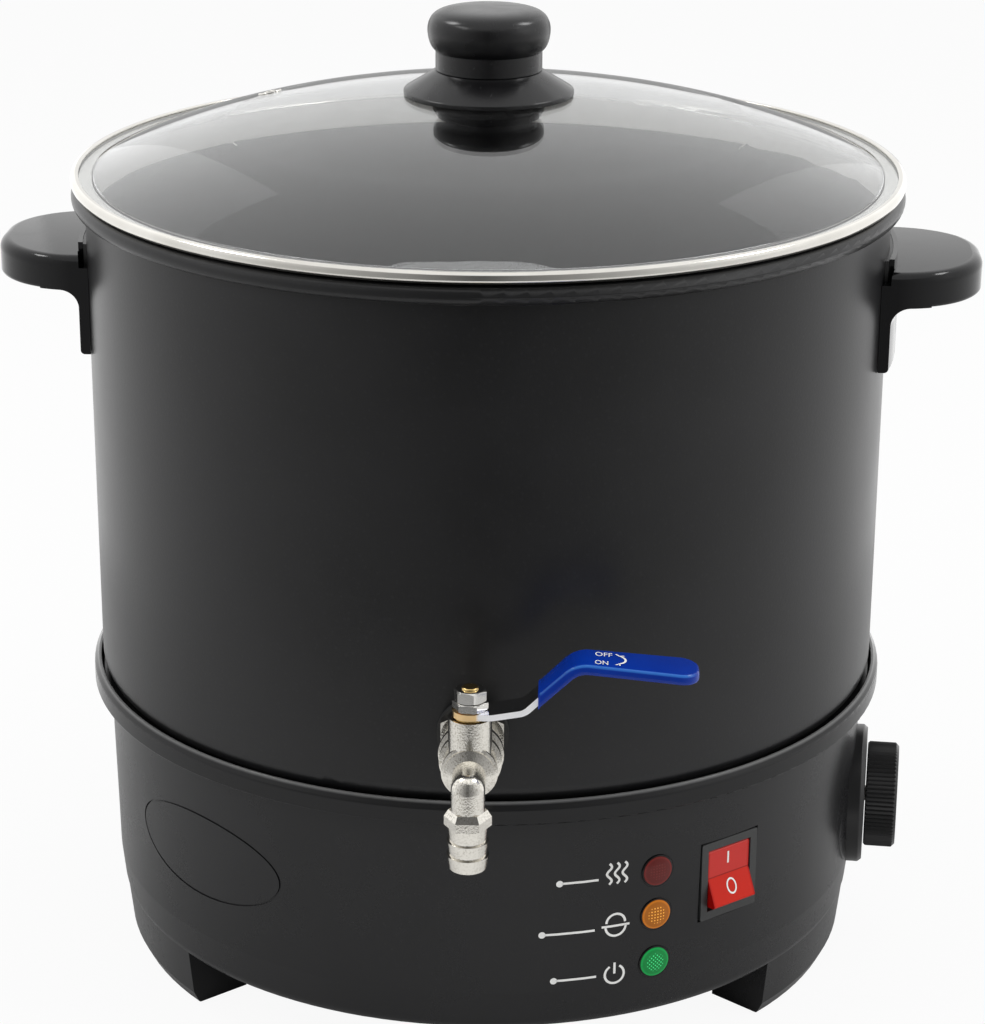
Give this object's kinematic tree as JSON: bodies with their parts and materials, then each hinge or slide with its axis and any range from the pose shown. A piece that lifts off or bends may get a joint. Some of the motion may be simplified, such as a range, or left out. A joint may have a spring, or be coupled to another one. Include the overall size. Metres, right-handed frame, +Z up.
{
  "type": "wax melter",
  "caption": "Round electric wax melting pot on a heated base, with two side handles, a domed glass lid, a ball-valve drain tap, a rocker switch and a dial thermostat.",
  "frame": {"origin": "centre of the footprint: the pot's axis at the level of the worktop", "axes": "+Z up along the pot's axis; the drain tap points along -Y; the thermostat is on the +X side"},
  "size_m": [0.374, 0.3688, 0.369],
  "materials": {
    "housing_plastic": "satin, fine grain",
    "pot_coating": "satin non-stick coating",
    "black_gloss": "glossy",
    "black_nylon": "matte",
    "sheet_steel": "satin",
    "fastener_steel": "bright",
    "polished_band": "polished",
    "nickel_plate": "bright nickel plate",
    "brass": "machined",
    "lever_zinc": "zinc plated",
    "blue_vinyl": "glossy dipped vinyl",
    "black_rubber": "matte",
    "ptfe": "smooth",
    "clear_glass": "clear, tempered",
    "red_rocker": "translucent red",
    "red_lens": "translucent dark red",
    "amber_lens": "translucent amber",
    "green_lens": "translucent green",
    "aluminium": "cast",
    "element_sheath": "oxidised",
    "fibre": "felted mineral fibre",
    "porcelain": "unglazed"
  },
  "bodies": {
    "melter": {"base_housing": "housing_plastic", "bottom_cover": "sheet_steel", "bottom_cover_screws": "fastener_steel", "foot_pads": "black_rubber", "collar_ring": "housing_plastic", "pot": "pot_coating", "heating_plate": "aluminium", "heating_element": "element_sheath", "heat_shield_pan": "sheet_steel", "insulation_disc": "fibre", "pan_nuts": "fastener_steel", "thermal_cutout": "porcelain", "thermostat_bulb": "nickel_plate", "thermostat_body": "black_nylon", "thermostat_screws": "fastener_steel", "thermostat_bezel": "black_gloss", "switch_body": "black_gloss", "switch_blades": "brass", "red_lamp_lens": "red_lens", "amber_lamp_lens": "amber_lens", "green_lamp_lens": "green_lens", "lamp_bodies": "black_nylon", "lamp_nuts": "black_nylon", "cord_gland": "black_nylon", "gland_nut": "black_nylon", "terminal_block": "porcelain", "right_handle": "black_gloss", "right_handle_bracket": "sheet_steel", "left_handle": "black_gloss", "left_handle_bracket": "sheet_steel", "handle_screws": "fastener_steel", "tap_gasket": "black_rubber", "tap_inner_gasket": "black_rubber", "tap_washer": "fastener_steel", "tap_lock_nut": "nickel_plate", "tap_tailpiece": "nickel_plate", "tap_body": "nickel_plate", "tap_seats": "ptfe", "stem_packing": "ptfe", "packing_nut": "brass", "hose_barb": "nickel_plate"},
    "lid": {"lid_glass": "clear_glass", "lid_band": "polished_band", "vent_grommet": "polished_band", "lid_knob_skirt": "black_gloss", "lid_knob": "black_gloss", "knob_under_washer": "black_gloss", "knob_screw": "fastener_steel"},
    "tap_valve": {"tap_ball": "nickel_plate", "tap_stem": "brass", "tap_lever": "lever_zinc", "lever_grip": "blue_vinyl", "lever_jam_nut": "nickel_plate", "lever_nut": "nickel_plate"},
    "dial": {"thermostat_knob": "black_gloss", "thermostat_shaft": "fastener_steel"},
    "rocker": {"switch_rocker": "red_rocker"}
  },
  "joints": [
    {"name": "lid_lift", "type": "slide", "parent": "melter", "child": "lid", "axis": [0, 0, 1], "range_m": [0, 0.12]},
    {"name": "tap_turn", "type": "hinge", "parent": "melter", "child": "tap_valve", "pos_m": [0, -0.18, 0.165], "axis": [0, 0, -1], "range_deg": [0, 90]},
    {"name": "dial_turn", "type": "hinge", "parent": "melter", "child": "dial", "pos_m": [0.15897, -0.01811, 0.0586], "axis": [-0.9936, 0.1132, 0], "range_deg": [0, 270]},
    {"name": "rocker_tip", "type": "hinge", "parent": "melter", "child": "rocker", "pos_m": [0.09136, -0.11363, 0.071], "axis": [0.7793, 0.6266, 0], "range_deg": [0, 24]}
  ]
}
